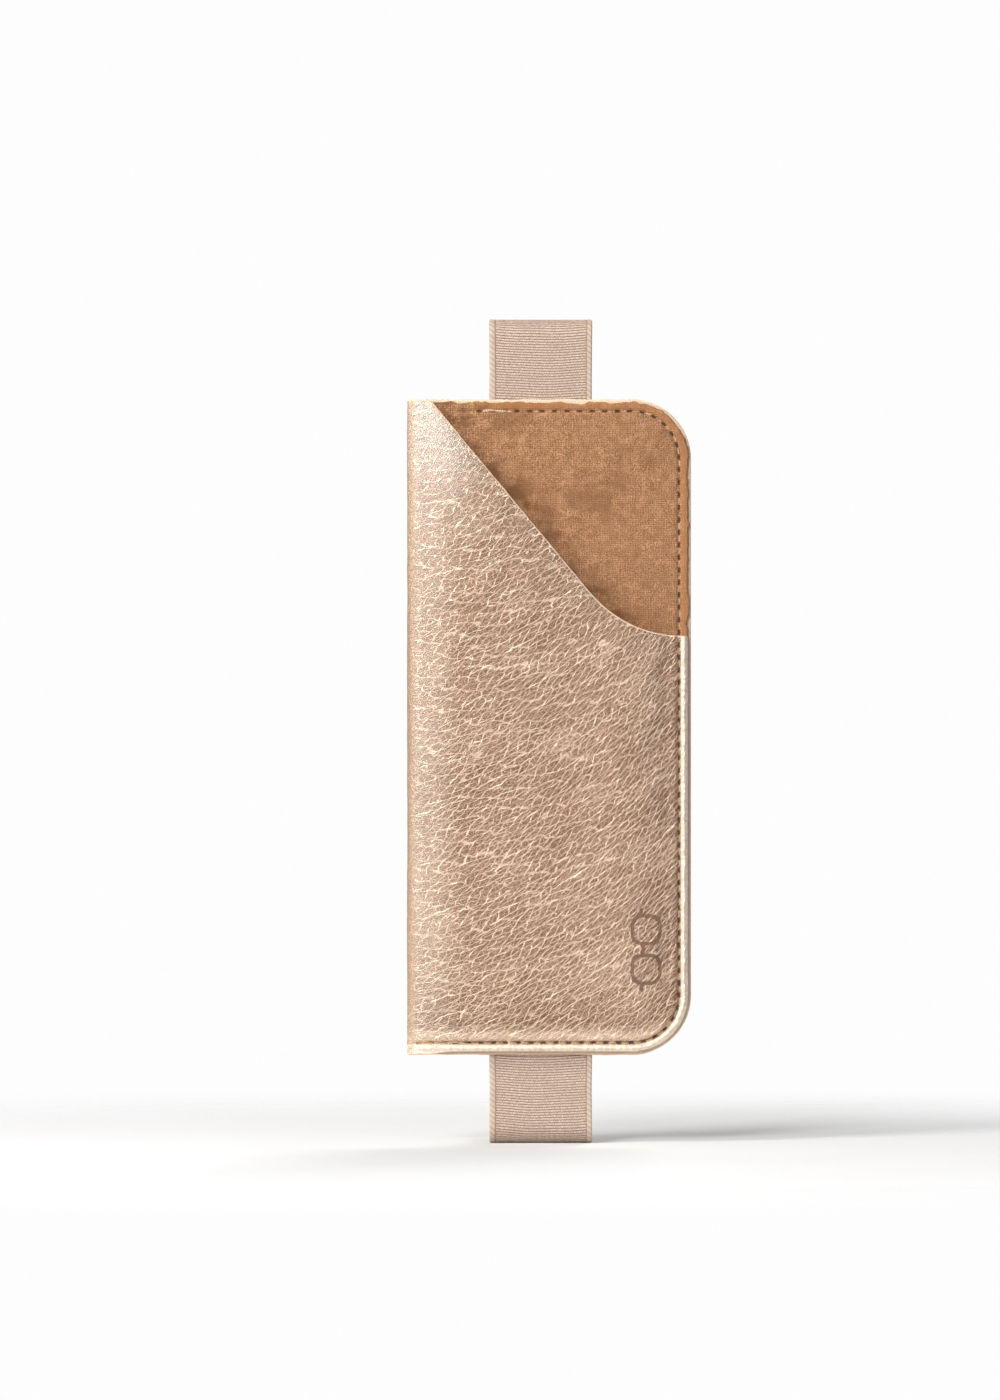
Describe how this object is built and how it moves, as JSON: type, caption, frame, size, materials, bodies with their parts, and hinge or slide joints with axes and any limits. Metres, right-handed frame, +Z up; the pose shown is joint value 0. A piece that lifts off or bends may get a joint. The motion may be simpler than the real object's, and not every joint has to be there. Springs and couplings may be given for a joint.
{
  "type": "soft pouch glasses case",
  "caption": "Soft folded leather pouch for glasses with a slanting mouth, velour lining, an elastic band that straps it on a book cover, and an elastic pen loop.",
  "frame": {"origin": "centre of the pouch's flat back face, which rests on the front cover of a book", "axes": "+Z up along the pouch's length towards its mouth, +Y out of the back face into the book, +X towards the sewn side"},
  "size_m": [0.0704, 0.0213, 0.2045],
  "materials": {
    "leather": "pebbled metallic rose-gold polyurethane leather with fine creases, semi-gloss",
    "board": "cream cut edge and inner face of the backing, matte",
    "foam": "thin off-white padding sheet, hidden",
    "velour": "short brown velour pile, matte with a soft sheen",
    "thread": "light gold sewing thread",
    "elastic": "ribbed beige woven elastic webbing"
  },
  "bodies": {
    "pouch": {"back_leather": "leather", "fold_leather": "leather", "front_margin": "leather", "back_foam": "foam", "back_board": "board", "back_lining": "velour", "fold_lining": "velour", "needle_thread": "thread", "bobbin_thread": "thread", "band_top_front": "elastic", "band_bottom_front": "elastic", "band_top_turn": "elastic", "band_bottom_turn": "elastic", "pen_loop_tab": "elastic"},
    "front": {"front_leather": "leather", "front_lining": "velour"},
    "band_back": {"band_rear": "elastic"},
    "pen_strap": {"pen_loop": "elastic"}
  },
  "joints": [
    {"name": "front_swell", "type": "slide", "parent": "pouch", "child": "front", "axis": [0, -1, 0], "range_m": [0, 0.012], "stiffness_N_per_m": 120},
    {"name": "band_stretch", "type": "slide", "parent": "pouch", "child": "band_back", "axis": [0, 1, 0], "range_m": [0, 0.02], "stiffness_N_per_m": 150, "deforming": ["band_top_turn", "band_bottom_turn"]},
    {"name": "pen_loop_swing", "type": "hinge", "parent": "pouch", "child": "pen_strap", "pos_m": [0.0339, 0.00186, -0.01625], "axis": [0, 0, -1], "range_deg": [0, 180]}
  ]
}
